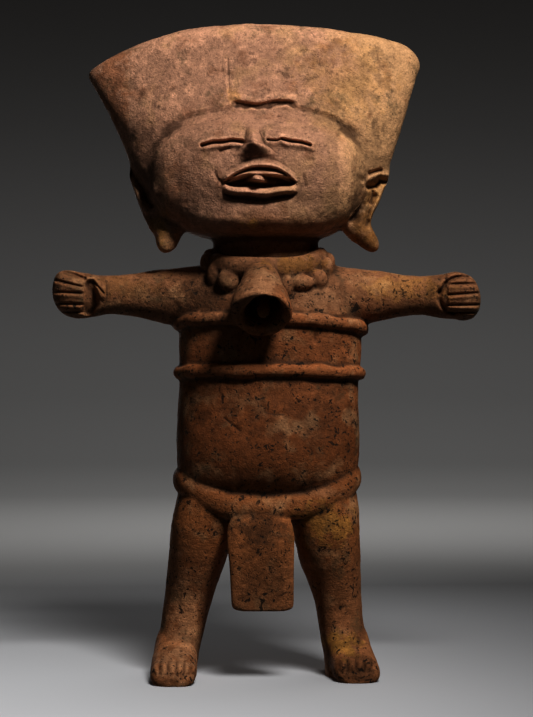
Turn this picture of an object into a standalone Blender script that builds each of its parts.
"""A standing smiling figure of fired clay, arms held out to the sides, with a bell at the throat.

The figure faces -Y and stands on the floor at z = 0. Its pose and its carving are given as shares
of its height, 440 of them, so HEIGHT resizes the whole figure. The bell is a piece of its own,
seated in the throat and chest, and keeps its own sizes.
"""

import math

import bmesh
import bpy
import numpy as np

HEIGHT = 0.440
SHARES = 440.0
UNIT = HEIGHT / SHARES

# The bell pendant, in metres
BELL_LENGTH = 0.047
BELL_MOUTH_RADIUS = 0.0205
BELL_ROOT_RADIUS = 0.0125
BELL_WALL = 0.0055
BELL_DEPTH = 0.031
BELL_TILT = math.radians(41)
CLAPPER_RADIUS = 0.0045
CLAPPER_RECESS = 0.005
CLAPPER_DROP = 0.0045
BELL_SEAT_GAP = 0.0003

# The applied strips and the apron, in shares
COIL = (4.4, 4.2)
BELT_HALF_HEIGHT = 8.6
BELT_HALF_DEPTH = 6.8
APRON_THICKNESS = 7.0
SOLE_ALLOWANCE = 2.0

BODY_VOXEL = 2.0
CLAY_VOXEL = 1.35
FACE_COUNT = 8500
AROUND = 48

# Rings of the body: height, centre x, centre y, half width, half depth, squareness
TORSO = [
    (108, 0.0, 4.0, 53.0, 28.0, 2.4),
    (117, 0.3, 3.5, 59.0, 33.5, 2.5),
    (126, 0.4, 2.5, 60.0, 36.5, 2.5),
    (135, 0.5, 0.5, 60.7, 41.0, 2.4),
    (146, 0.7, -0.8, 61.0, 43.0, 2.3),
    (160, 1.0, -0.8, 61.3, 42.5, 2.3),
    (176, 1.3, 0.5, 61.0, 40.0, 2.3),
    (198, 1.8, 1.5, 60.2, 37.5, 2.3),
    (218, 2.2, 1.5, 61.2, 37.0, 2.3),
    (239, 2.7, 2.0, 61.4, 37.0, 2.3),
    (254, 2.8, 2.5, 60.5, 35.5, 2.3),
    (264, 2.7, 2.5, 56.0, 33.0, 2.2),
    (272, 2.2, 2.5, 50.0, 31.0, 2.2),
    (279, 1.0, 2.5, 42.0, 29.0, 2.1),
    (286, 0.0, 2.0, 37.0, 28.0, 2.1),
    (293, -0.5, 1.5, 35.0, 28.0, 2.1),
    (306, -2.0, 1.0, 38.0, 29.0, 2.1),
]
LEFT_LEG = [
    (134, -31.0, 2.0, 26.0, 33.0, 2.2),
    (117, -36.0, 1.0, 25.0, 33.0, 2.7),
    (104, -40.8, 0.0, 23.0, 31.5, 2.8),
    (91, -44.3, -0.5, 20.8, 29.0, 2.6),
    (77, -47.0, 0.5, 19.4, 26.0, 2.4),
    (64, -50.0, 2.0, 17.8, 23.0, 2.2),
    (50, -52.8, 4.0, 16.4, 20.5, 2.2),
    (37, -55.5, 5.5, 15.3, 18.5, 2.2),
    (23, -58.3, 6.5, 14.6, 17.5, 2.3),
    (10, -60.5, 6.5, 14.4, 17.0, 2.5),
    (-4, -61.0, 6.5, 14.4, 17.0, 2.6),
]
RIGHT_LEG = [
    (134, 31.0, 2.0, 27.0, 33.0, 2.2),
    (117, 36.5, 1.0, 25.4, 33.0, 2.7),
    (104, 39.0, 0.0, 23.4, 31.5, 2.8),
    (91, 40.8, -0.5, 22.0, 29.0, 2.6),
    (77, 42.7, 0.5, 20.4, 26.0, 2.4),
    (64, 45.5, 2.0, 17.7, 23.0, 2.2),
    (50, 47.8, 4.0, 16.0, 20.5, 2.2),
    (37, 49.7, 5.5, 15.2, 18.5, 2.2),
    (23, 51.8, 6.5, 14.9, 17.5, 2.3),
    (10, 53.6, 6.5, 14.6, 17.0, 2.5),
    (-4, 54.0, 6.5, 14.6, 17.0, 2.6),
]
# Rings of the feet, from heel to toe: distance along, half width, top height, squareness
FOOT = [
    (-27, 9.0, 12.0, 2.4),
    (-23, 12.5, 18.0, 2.6),
    (-12, 14.2, 28.0, 2.7),
    (6, 14.6, 33.0, 2.6),
    (20, 14.8, 26.0, 2.7),
    (32, 15.2, 19.0, 2.9),
    (42, 15.6, 15.5, 3.2),
    (48, 15.2, 14.0, 3.2),
    (51, 13.0, 11.0, 2.8),
]
# Rings of the arms, from shoulder to knuckles: distance out, bottom, top, centre y, half depth
ARM = [
    (16, 238.0, 275.0, 3.0, 24.0),
    (40, 236.0, 277.0, 3.0, 25.0),
    (53, 235.6, 275.6, 2.5, 23.0),
    (66, 236.6, 274.0, 1.5, 19.8),
    (77, 239.0, 272.8, 0.5, 17.3),
    (88, 241.2, 270.8, -1.0, 15.4),
    (99, 242.8, 269.6, -2.5, 14.0),
    (107, 242.9, 269.4, -3.5, 13.6),
    (115, 241.2, 270.2, -4.5, 14.4),
    (122, 240.2, 271.4, -5.5, 15.2),
    (129, 239.8, 272.4, -6.0, 15.4),
    (135, 240.6, 271.4, -6.0, 14.8),
    (139, 243.0, 269.2, -6.0, 13.0),
    (141.8, 247.0, 265.4, -6.0, 10.0),
    (143.6, 253.0, 260.0, -6.0, 5.0),
]
# Rings of the head slab: height, centre x, centre y, half width, half depth, squareness
HEAD = [
    (296, -2.0, 1.0, 40.0, 28.0, 2.2),
    (301, -4.0, 0.5, 52.0, 31.0, 2.2),
    (308, -5.0, 1.0, 63.0, 33.0, 2.2),
    (319, -5.2, 2.0, 72.5, 34.0, 2.2),
    (331, -5.2, 2.5, 80.0, 34.5, 2.3),
    (345, -4.6, 3.0, 86.8, 34.5, 2.4),
    (365, -4.6, 3.5, 93.0, 33.5, 2.4),
    (385, -5.2, 4.5, 99.0, 31.5, 2.6),
    (410, -6.6, 8.5, 106.2, 25.5, 3.0),
    (430, -7.8, 12.0, 111.6, 21.0, 3.3),
    (437.0, -8.2, 13.0, 113.2, 18.0, 3.3),
    (440.4, -8.2, 13.3, 112.6, 13.0, 3.0),
    (441.8, -8.2, 13.5, 111.6, 7.0, 2.8),
    (442.3, -8.2, 13.5, 110.6, 0.8, 2.4),
]
# Rings of the apron: height, centre x, centre y, half width
APRON = [
    (122, -4.2, -33.0, 19.0),
    (114, -4.2, -35.6, 21.6),
    (104, -4.1, -37.2, 22.5),
    (92, -3.7, -37.4, 22.0),
    (78, -3.2, -36.4, 21.2),
    (60, -2.8, -34.8, 20.7),
    (49.5, -2.6, -33.9, 20.3),
    (46.5, -2.6, -33.6, 18.6),
    (45.2, -2.6, -33.6, 14.0),
]
FACE_CENTRE = (-6.0, -8.0, 337.5)
FACE_RADII = (73.0, 41.0, 45.0)


def oval(half_width, half_depth, squareness, count=AROUND):
    """Offsets round one closed section: a round oval at squareness 2, a block as it grows."""
    angle = np.arange(count) * (2 * math.pi / count)
    power = 2 / squareness
    across = half_width * np.sign(np.cos(angle)) * np.abs(np.cos(angle)) ** power
    deep = half_depth * np.sign(np.sin(angle)) * np.abs(np.sin(angle)) ** power
    return across, deep


def eased(rows, steps=3):
    """More rows between the given ones, on smooth curves through them."""
    rows = np.array(rows, float)
    slopes = np.gradient(rows, axis=0)
    more = []
    for start, end, leaving, arriving in zip(rows, rows[1:], slopes, slopes[1:]):
        for s in np.arange(steps) / steps:
            blend = s * s * (3 - 2 * s)
            curve = leaving * s * (1 - s) ** 2 - arriving * s * s * (1 - s)
            more.append(start + (end - start) * blend + curve)
    return more + [rows[-1]]


def loft(name, rings):
    """A closed skin over a row of rings: a disc, extruded from each ring to the next."""
    bm = bmesh.new()
    bmesh.ops.create_circle(bm, cap_ends=True, segments=len(rings[0]), radius=1)
    bm.faces.ensure_lookup_table()
    end = bm.faces[0]
    for ring in rings:
        for vert, point in zip(end.verts, ring):
            vert.co = point
        if ring is not rings[-1]:
            end = bmesh.ops.extrude_discrete_faces(bm, faces=[end])["faces"][0]
    bmesh.ops.holes_fill(bm, edges=[edge for edge in bm.edges if edge.is_boundary], sides=0)
    bmesh.ops.recalc_face_normals(bm, faces=bm.faces)
    return finish(name, bm)


def finish(name, bm):
    mesh = bpy.data.meshes.new(name)
    bm.to_mesh(mesh)
    bm.free()
    obj = bpy.data.objects.new(name, mesh)
    bpy.context.scene.collection.objects.link(obj)
    return obj


def ball(name, centre, radii):
    bm = bmesh.new()
    bmesh.ops.create_uvsphere(bm, u_segments=48, v_segments=24, radius=1)
    bmesh.ops.scale(bm, vec=radii, verts=bm.verts)
    bmesh.ops.translate(bm, vec=centre, verts=bm.verts)
    return finish(name, bm)


def upright(name, stations):
    """A form built up in level rings."""
    rings = []
    for height, x, y, half_width, half_depth, squareness in eased(stations):
        across, deep = oval(half_width, half_depth, squareness)
        rings.append([(x + a, y + d, height) for a, d in zip(across, deep)])
    return loft(name, rings)


def crown(x):
    """Height of the headdress's top edge above the floor: an arch, drooping further on the left."""
    across = np.clip((x + 7.7) / 113, -1, 1)
    left = 31.0 * np.abs(across) ** 2.35
    right = 5.0 * across + 11.0 * np.abs(across) ** 3 + 9.0 * np.abs(across) ** 20
    return 441.5 - np.where(across < 0, left, right)


def head_slab():
    """The head and its flaring headdress: rings that climb from level to the arch of the crown."""
    rings = []
    for height, x, y, half_width, half_depth, squareness in eased(HEAD):
        across, deep = oval(half_width, half_depth, squareness)
        lift = max(0.0, (height - 345) / 97)
        swept = 5.0 * lift * (across / half_width) ** 2
        rise = lift * (crown(x + across) - 441.0)
        rings.append(
            [(x + a, y + d + s, height + r) for a, d, s, r in zip(across, deep, swept, rise)]
        )
    return loft("head", rings)


def arm(name, side, lean):
    """An arm held straight out, its knuckles leaning up or down."""
    rings = []
    for out, bottom, top, y, half_depth in eased(ARM):
        deep, high = oval(half_depth, (top - bottom) / 2, 2.2)
        middle = (bottom + top) / 2 + lean * max(0.0, (out - 131) / 12.6)
        rings.append([(side * out, y + d, middle + h) for d, h in zip(deep, high)])
    return loft(name, rings)


def foot(name, heel, turn, reach):
    """A foot from heel to toe along a line turned from straight ahead."""
    rings = []
    for along, half_width, top, squareness in eased(FOOT):
        along *= reach if along > 0 else 1.0
        across, high = oval(half_width, (top + SOLE_ALLOWANCE + 4) / 2, squareness)
        middle = (top - SOLE_ALLOWANCE - 4) / 2
        rings.append(
            [
                (
                    heel[0] + along * math.sin(turn) + a * math.cos(turn),
                    heel[1] - along * math.cos(turn) + a * math.sin(turn),
                    middle + h,
                )
                for a, h in zip(across, high)
            ]
        )
    return loft(name, rings)


def strip(name, path, wide, thick, up=(0.0, 0.0, 1.0)):
    """A rolled strip along a path: its width lies nearest to the up direction."""
    path = np.array(path, float)
    ahead = np.gradient(path, axis=0)
    ahead /= np.linalg.norm(ahead, axis=1)[:, None]
    rings = []
    for place, along in zip(range(len(path)), ahead):
        side = np.cross(along, up)
        side /= np.linalg.norm(side)
        over = np.cross(side, along)
        edge = min(place, len(path) - 1 - place) + 0.35
        round_off = math.sqrt(min(1.0, edge / 1.6))
        out, high = oval(thick[place] * round_off, wide[place] * round_off, 2.1, 20)
        rings.append([path[place] + side * o + over * h for o, h in zip(out, high)])
    return loft(name, rings)


def torso_at(height, angle, outward):
    """A point on the torso's skin at a height, angle 0 straight ahead and growing to the right."""
    rows = np.array(eased(TORSO))
    x, y, half_width, half_depth = (np.interp(height, rows[:, 0], rows[:, i]) for i in (1, 2, 3, 4))
    power = 2 / 2.3
    sine, cosine = math.sin(angle), math.cos(angle)
    return (
        x + (half_width + outward) * math.copysign(abs(sine) ** power, sine),
        y - (half_depth + outward) * math.copysign(abs(cosine) ** power, cosine),
        height,
    )


def wrapped(name, heights, first, last, section, outward, count=60):
    """A coil laid round the torso between two angles, its height and standoff set along the way."""
    share = np.linspace(0, 1, count)
    turns = np.radians(first + (last - first) * share)
    line = np.interp(share, np.linspace(0, 1, len(heights)), heights)
    off = np.interp(share, np.linspace(0, 1, len(outward)), outward)
    path = [torso_at(h, turn, o) for h, turn, o in zip(line, turns, off)]
    half_height, half_depth = section
    return strip(name, path, [half_height] * count, [half_depth] * count)


def bell_axis():
    root = np.array([-3.5, -27.0, 273.5])
    down = np.array([0.0, -math.cos(BELL_TILT), -math.sin(BELL_TILT)])
    over = np.array([0.0, -math.sin(BELL_TILT), math.cos(BELL_TILT)])
    return root, down, over


def turned(name, profile):
    """A form turned about the bell's axis: distance along and radius, both in metres."""
    root, down, over = bell_axis()
    side = np.array([1.0, 0.0, 0.0])
    rings = []
    for along, radius in profile:
        across, high = oval(radius / UNIT, radius / UNIT, 2, 36)
        middle = root + down * (along / UNIT)
        rings.append([middle + side * a + over * h for a, h in zip(across, high)])
    return loft(name, rings)


def bell_profile(clearance=0.0):
    """The outside of the bell, from its root to its mouth, grown by a clearance."""
    flare = BELL_MOUTH_RADIUS - BELL_ROOT_RADIUS
    rows = [
        (-0.006 - clearance, 0.0),
        (0.2 * BELL_LENGTH, 0.12),
        (0.35 * BELL_LENGTH, 0.28),
        (0.5 * BELL_LENGTH, 0.50),
        (0.65 * BELL_LENGTH, 0.74),
        (0.8 * BELL_LENGTH, 0.92),
        (0.96 * BELL_LENGTH, 1.0),
    ]
    rows = [(along, BELL_ROOT_RADIUS + share * flare + clearance) for along, share in rows]
    return rows + [(BELL_LENGTH + clearance, BELL_MOUTH_RADIUS - 0.001 + clearance)]


def bell_bore():
    """The inside of the bell, from its mouth to the rounded head of the bore."""
    deep = BELL_LENGTH - BELL_DEPTH
    bore = BELL_MOUTH_RADIUS - BELL_WALL
    return [
        (BELL_LENGTH, bore),
        (deep + 0.55 * BELL_DEPTH, 0.93 * bore),
        (deep + 0.2 * BELL_DEPTH, 0.80 * bore),
        (deep, 0.55 * bore),
    ]


def clapper():
    """The clapper, fixed at the head of the bore and drooping towards the mouth."""
    root, down, over = bell_axis()
    rows = [
        (BELL_LENGTH - BELL_DEPTH - 0.004, 0.0, 0.8),
        (BELL_LENGTH - CLAPPER_RECESS - 0.012, 0.5, 0.9),
        (BELL_LENGTH - CLAPPER_RECESS - 0.005, 0.9, 1.0),
        (BELL_LENGTH - CLAPPER_RECESS - 0.001, 1.0, 0.8),
        (BELL_LENGTH - CLAPPER_RECESS, 1.0, 0.4),
    ]
    rings = []
    for along, drop, size in rows:
        across, high = oval(size * CLAPPER_RADIUS / UNIT, size * CLAPPER_RADIUS / UNIT, 2, 20)
        middle = root + (down * along - over * drop * CLAPPER_DROP) / UNIT
        rings.append([middle + np.array([a, 0.0, 0.0]) + over * h for a, h in zip(across, high)])
    return loft("clapper", rings)


def baked(obj):
    """The object's mesh with its modifiers worked in."""
    graph = bpy.context.evaluated_depsgraph_get()
    obj.data = bpy.data.meshes.new_from_object(obj.evaluated_get(graph))
    obj.modifiers.clear()
    return obj


def fused(name, parts, voxel, smoothing):
    """The parts pressed into one body and wiped smooth."""
    bm = bmesh.new()
    for part in parts:
        bm.from_mesh(part.data)
        bpy.data.objects.remove(part)
    obj = finish(name, bm)
    remesh = obj.modifiers.new("Clay", "REMESH")
    remesh.mode = "VOXEL"
    remesh.voxel_size = voxel
    wipe = obj.modifiers.new("Wiped", "SMOOTH")
    wipe.factor = 0.5
    wipe.iterations = smoothing
    return baked(obj)


def combined(obj, other, operation):
    """The object joined with another form, or hollowed by it."""
    change = obj.modifiers.new(operation.title(), "BOOLEAN")
    change.operation = operation
    change.solver = "EXACT"
    change.object = other
    baked(obj)
    bpy.data.objects.remove(other)
    return obj


def hump(distance, width):
    return np.exp(-((distance / width) ** 2))


def step(value, start, end):
    along = np.clip((value - start) / (end - start), 0, 1)
    return along * along * (3 - 2 * along)


def line_distance(x, z, corners):
    """Distance of every point, seen from the front, from a line through the corners."""
    nearest = np.full(len(x), np.inf)
    for (x0, z0), (x1, z1) in zip(corners, corners[1:]):
        length = (x1 - x0) ** 2 + (z1 - z0) ** 2
        along = np.clip(((x - x0) * (x1 - x0) + (z - z0) * (z1 - z0)) / length, 0, 1)
        away = np.hypot(x - x0 - along * (x1 - x0), z - z0 - along * (z1 - z0))
        nearest = np.minimum(nearest, away)
    return nearest


def hairline(x):
    """Height of the headdress's lower edge over the forehead, dipping to a point at the middle."""
    out = np.abs((x + 1) / 65)
    fall = np.where(x < -1, 12.0, 19.0) * out**2.6
    return 382.5 - fall - 3.0 * hump(x + 7, 9.0)


def face_relief(x, z):
    """How far the face stands forward of its smooth swell, in shares."""
    raised = np.zeros(len(x))
    # Puffy closed lids with a slit between them
    for corners in ([(-41.5, 353.6), (-30, 355.8), (-16, 356.8)], [(1, 357.4), (14, 356.6), (28, 353.8)]):
        away = line_distance(x, z, corners)
        raised += 3.0 * hump(away, 5.5) - 5.4 * hump(away, 1.5)
    # A short wedge of a nose, its underside sloping back to the lip
    down = np.interp(z, [341.5, 344.5, 352.0, 357.0, 363.0, 368.0], [0, 3.6, 11.5, 8.6, 3.4, 0])
    half = np.interp(z, [343.0, 347.0, 352.0, 357.0, 362.0], [11.5, 12.0, 8.6, 5.8, 5.0])
    raised += down * np.exp(-(np.abs((x + 7.2) / half) ** 2.6))
    # The open smile: a double upper lip, the parted mouth, a full lower lip
    along = np.abs((x + 5.2) / 24.2)
    held = 1 - step(along, 0.86, 1.12)
    bend = np.minimum(along, 1.2) ** 1.7
    raised += 3.6 * held * hump(z - (341.3 - 11.0 * bend), 2.1)
    raised -= 3.4 * held * hump(z - (338.3 - 9.2 * bend), 1.4)
    raised += 5.4 * held * hump(z - (335.2 - 6.4 * bend), 2.0)
    open_high = 3.7 * np.sqrt(np.clip(1 - along**2, 0, 1)) + 0.5
    raised -= 8.5 * held * np.exp(-(((z - 329.2) / open_high) ** 4))
    raised += 4.6 * held * hump(z - (323.2 + 4.6 * bend), 2.5)
    raised -= 2.6 * held * hump(z - (317.6 + 5.5 * bend), 3.0)
    # The tongue tip between the lips
    raised += 7.2 * hump(x + 7.0, 4.6) * hump(z - 331.6, 3.6)
    # Cheeks and chin
    for centre in (-36.0, 27.0):
        raised += 2.2 * hump(x - centre, 17.0) * hump(z - 337.0, 16.0)
    raised += 1.8 * hump(x + 5.0, 20.0) * hump(z - 308.0, 8.0)
    return raised


def headdress_relief(x, z):
    """The headdress stands a little proud above a rough groove, with one upright scored line."""
    over = z - hairline(x)
    across = 1 - step(np.abs(x + 1), 60.0, 72.0)
    raised = 2.3 * across * step(over, -1.0, 1.2) * (1 - step(over, 3.0, 26.0))
    raised -= 1.5 * across * hump(over + 1.2, 1.8)
    middle = 1 - step(np.abs(x + 2.0), 17.0, 23.0)
    raised -= 3.0 * middle * hump(over - 1.0, 2.4)
    raised -= 1.3 * hump(line_distance(x, z, [(-25.0, 413.5), (-23.0, 385.0)]), 1.0)
    return raised


def ear_relief(x, z):
    """The rolled rims of the ears, with a channel between each rim and the cheek."""
    raised = -5.5 * hump(line_distance(x, z, [(-84.5, 339.0), (-81.0, 326.0), (-75.5, 315.0)]), 3.2)
    raised -= 4.5 * hump(line_distance(x, z, [(69.0, 336.0), (66.0, 326.0), (62.5, 316.0)]), 3.0)
    raised -= 4.0 * hump(line_distance(x, z, [(67.0, 340.5), (78.0, 344.5)]), 2.0)
    raised += 3.0 * hump(line_distance(x, z, [(62.0, 340.0), (70.0, 345.0), (79.0, 349.0)]), 3.0)
    return raised


def hand_relief(x, z):
    """Fists seen from the palm: four grooves make the fingers, with a hollow at their tips."""
    raised = np.zeros(len(x))
    for grooves, side, tips in (
        ([264.6, 257.4, 249.8, 244.4], -1, 123.5),
        ([263.0, 255.7, 249.1, 243.9], 1, 122.0),
    ):
        out = x * side
        on_fingers = step(out, tips - 1.5, tips + 1.0) * (z > 236)
        raised += 1.6 * on_fingers
        for groove in grooves:
            raised -= 3.0 * on_fingers * hump(z - groove, 1.1)
    hollow = line_distance(x, z, [(-120.5, 265.0), (-117.5, 258.0), (-117.5, 251.0), (-121.0, 245.0)])
    raised -= 5.6 * np.exp(-((hollow / 4.0) ** 4))
    raised += 1.6 * hump(line_distance(x, z, [(-119.0, 269.0), (-108.5, 257.5)]), 3.2)
    raised -= 3.6 * hump(line_distance(x, z, [(-124, 267.6), (-134, 270.4)]), 1.7)
    crescent = [(137, 268.5), (126, 268.0), (119.0, 263.0), (117.0, 256.0), (119.0, 248.0), (125, 243.0)]
    raised -= 3.2 * hump(line_distance(x, z, crescent), 1.7)
    return raised


def toe_relief(x, z):
    raised = np.zeros(len(x))
    for grooves in ([-71.5, -64.8, -58.5, -52.5], [50.5, 56.5, 62.5, 68.0]):
        for groove in grooves:
            raised -= 0.9 * hump(x - groove, 1.3) * (1 - step(z, 10.0, 15.0))
    return raised


def carved(obj):
    """Pushes the skin in and out along the viewing direction wherever it faces forward."""
    count = len(obj.data.vertices)
    points = np.empty(count * 3)
    normals = np.empty(count * 3)
    obj.data.vertices.foreach_get("co", points)
    obj.data.vertex_normals.foreach_get("vector", normals)
    points = points.reshape(-1, 3)
    normals = normals.reshape(-1, 3)
    x, y, z = points.T.copy()
    front = step(-normals[:, 1], 0.02, 0.35)
    on_head = step(z, 293.0, 297.0)
    raised = on_head * (face_relief(x, z) + headdress_relief(x, z) + ear_relief(x, z))
    raised += (np.abs(x) > 108) * (z < 285) * hand_relief(x, z)
    raised += (z < 20) * (y < -28) * toe_relief(x, z)
    points[:, 1] -= front * raised
    obj.data.vertices.foreach_set("co", points.ravel())
    obj.data.update()
    return obj


def thinned(obj, count):
    """Fewer faces, with more of them left where the carving is fine."""
    group = obj.vertex_groups.new(name="plain")
    points = np.empty(len(obj.data.vertices) * 3)
    obj.data.vertices.foreach_get("co", points)
    x, y, z = points.reshape(-1, 3).T
    face = (np.abs(x + 5) < 48) & (z > 310) & (z < 390) & (y < -15)
    hand = (np.abs(x) > 110) & (y < -8)
    fine = face | hand
    group.add(np.flatnonzero(~fine).tolist(), 1.0, "REPLACE")
    group.add(np.flatnonzero(fine).tolist(), 0.90, "REPLACE")
    obj.data.calc_loop_triangles()
    fewer = obj.modifiers.new("Fewer", "DECIMATE")
    fewer.ratio = count / len(obj.data.loop_triangles)
    fewer.use_collapse_triangulate = True
    fewer.vertex_group = "plain"
    fewer.vertex_group_factor = 0.4
    baked(obj)
    obj.vertex_groups.clear()
    return obj


def soled(obj):
    """Cuts the soles flat at the floor."""
    bm = bmesh.new()
    bm.from_mesh(obj.data)
    whole = bm.verts[:] + bm.edges[:] + bm.faces[:]
    bmesh.ops.bisect_plane(
        bm, geom=whole, dist=1e-4, plane_co=(0, 0, 0), plane_no=(0, 0, -1), clear_outer=True
    )
    bmesh.ops.holes_fill(bm, edges=[edge for edge in bm.edges if edge.is_boundary], sides=0)
    bm.to_mesh(obj.data)
    bm.free()
    return obj


def standing(pieces):
    """Turns shares into metres, with the middle of the whole figure's box over the origin."""
    corners = [np.array([vert.co for vert in obj.data.vertices]) for obj in pieces]
    low = np.min([points.min(axis=0) for points in corners], axis=0)
    high = np.max([points.max(axis=0) for points in corners], axis=0)
    middle = (low + high) / 2
    for obj in pieces:
        bm = bmesh.new()
        bm.from_mesh(obj.data)
        bmesh.ops.triangulate(bm, faces=bm.faces)
        bmesh.ops.translate(bm, vec=(-middle[0], -middle[1], 0), verts=bm.verts)
        bmesh.ops.scale(bm, vec=(UNIT, UNIT, HEIGHT / high[2]), verts=bm.verts)
        bm.to_mesh(obj.data)
        bm.free()


def terracotta():
    clay = bpy.data.materials.new("terracotta")
    clay.use_nodes = True
    shader = clay.node_tree.nodes["Principled BSDF"]
    shader.inputs["Base Color"].default_value = (0.33, 0.145, 0.066, 1)
    shader.inputs["Roughness"].default_value = 0.82
    return clay


for obj in list(bpy.data.objects):
    bpy.data.objects.remove(obj)

body = fused(
    "body",
    [
        upright("torso", TORSO),
        upright("left_leg", LEFT_LEG),
        upright("right_leg", RIGHT_LEG),
        foot("left_foot", (-60.5, 1.0), math.radians(-1), 1.04),
        foot("right_foot", (55.0, 3.0), math.radians(8), 0.8),
        arm("left_arm", -1, 4.0),
        arm("right_arm", 1, -3.0),
        head_slab(),
        ball("face", FACE_CENTRE, FACE_RADII),
        strip(
            "left_ear",
            [(-84.5, 2, 347), (-82.5, 0, 335), (-76, -2, 321), (-70.5, -3, 310), (-66, -3, 301), (-66, -3, 292), (-68.8, -3, 283)],
            [9.0, 9.5, 10.0, 10.0, 9.0, 7.5, 5.5],
            [8.5, 9.5, 11.0, 12.0, 11.5, 8.5, 5.5],
            (0.0, 1.0, 0.0),
        ),
        strip(
            "right_ear",
            [(77, 2, 347), (73, 0, 335), (67, -2, 321), (62, -3, 310), (61.5, -3, 302), (67, -3, 294.5), (74.5, -3, 285)],
            [9.0, 9.5, 9.5, 9.5, 9.0, 7.5, 5.0],
            [8.5, 9.5, 10.5, 11.5, 11.0, 8.0, 5.5],
            (0.0, 1.0, 0.0),
        ),
    ],
    BODY_VOXEL,
    8,
)

neckband = [(-36, -10, 280), (-30, -22, 277), (-18, -29, 275.5), (-3, -31.5, 275), (13, -29.5, 275), (26, -23, 277), (34, -13, 281), (38, -2, 285)]
# Each pellet of the necklace: its centre, then its radii
pellets = [
    ((-38, 2, 283), (5, 7, 6)),
    ((-39.5, -11, 279), (5, 7, 7)),
    ((-35.5, -23, 272), (6.5, 6.5, 8.5)),
    ((-26, -30.5, 266.5), (7.5, 6, 8)),
    ((15.5, -32, 265), (6, 5.5, 7.5)),
    ((25, -30, 264.5), (8.5, 6, 6.8)),
    ((35, -24.5, 267.5), (6.5, 6.5, 7.2)),
    ((40.5, -15.5, 273.5), (6, 7, 7)),
    ((41, -3, 279.5), (5, 8, 6)),
]

figure = fused(
    "smiling_figure",
    [
        body,
        wrapped("upper_coil", [237, 240.5, 241, 241, 239.5, 236.5, 234], -92, 94, COIL, [0.6, 0.6]),
        wrapped("lower_coil", [204, 206, 206.5, 206.5, 206, 205, 204.5], -98, 98, COIL, [0, 0.6, 0.6]),
        wrapped(
            "belt",
            [133, 134, 135, 134.5, 132, 130, 125.5, 116.5, 114, 116.5, 125, 130, 133, 134, 134, 133, 133],
            -180,
            180,
            (BELT_HALF_HEIGHT, BELT_HALF_DEPTH),
            [-5.5, -5.5, -5.8, -3.0, 0.8, 1.8, 0.8, -3.0, -5.8, -5.5, -5.5],
            140,
        ),
        loft(
            "apron",
            [
                [(x + a, y + d, z) for a, d in zip(*oval(half, APRON_THICKNESS / 2, 5))]
                for z, x, y, half in eased(APRON)
            ],
        ),
        strip("neckband", neckband, [7.0] * 8, [5.0] * 8),
        *(ball(f"pellet_{i}", centre, radii) for i, (centre, radii) in enumerate(pellets)),
    ],
    CLAY_VOXEL,
    3,
)
carved(figure)
thinned(figure, FACE_COUNT)
soled(figure)

bell = combined(turned("bell", bell_profile() + bell_bore()), clapper(), "UNION")
combined(figure, turned("seat", bell_profile(BELL_SEAT_GAP)), "DIFFERENCE")

standing([figure, bell])
clay = terracotta()
for piece in (figure, bell):
    piece.data.materials.clear()
    piece.data.materials.append(clay)
    for polygon in piece.data.polygons:
        polygon.use_smooth = False
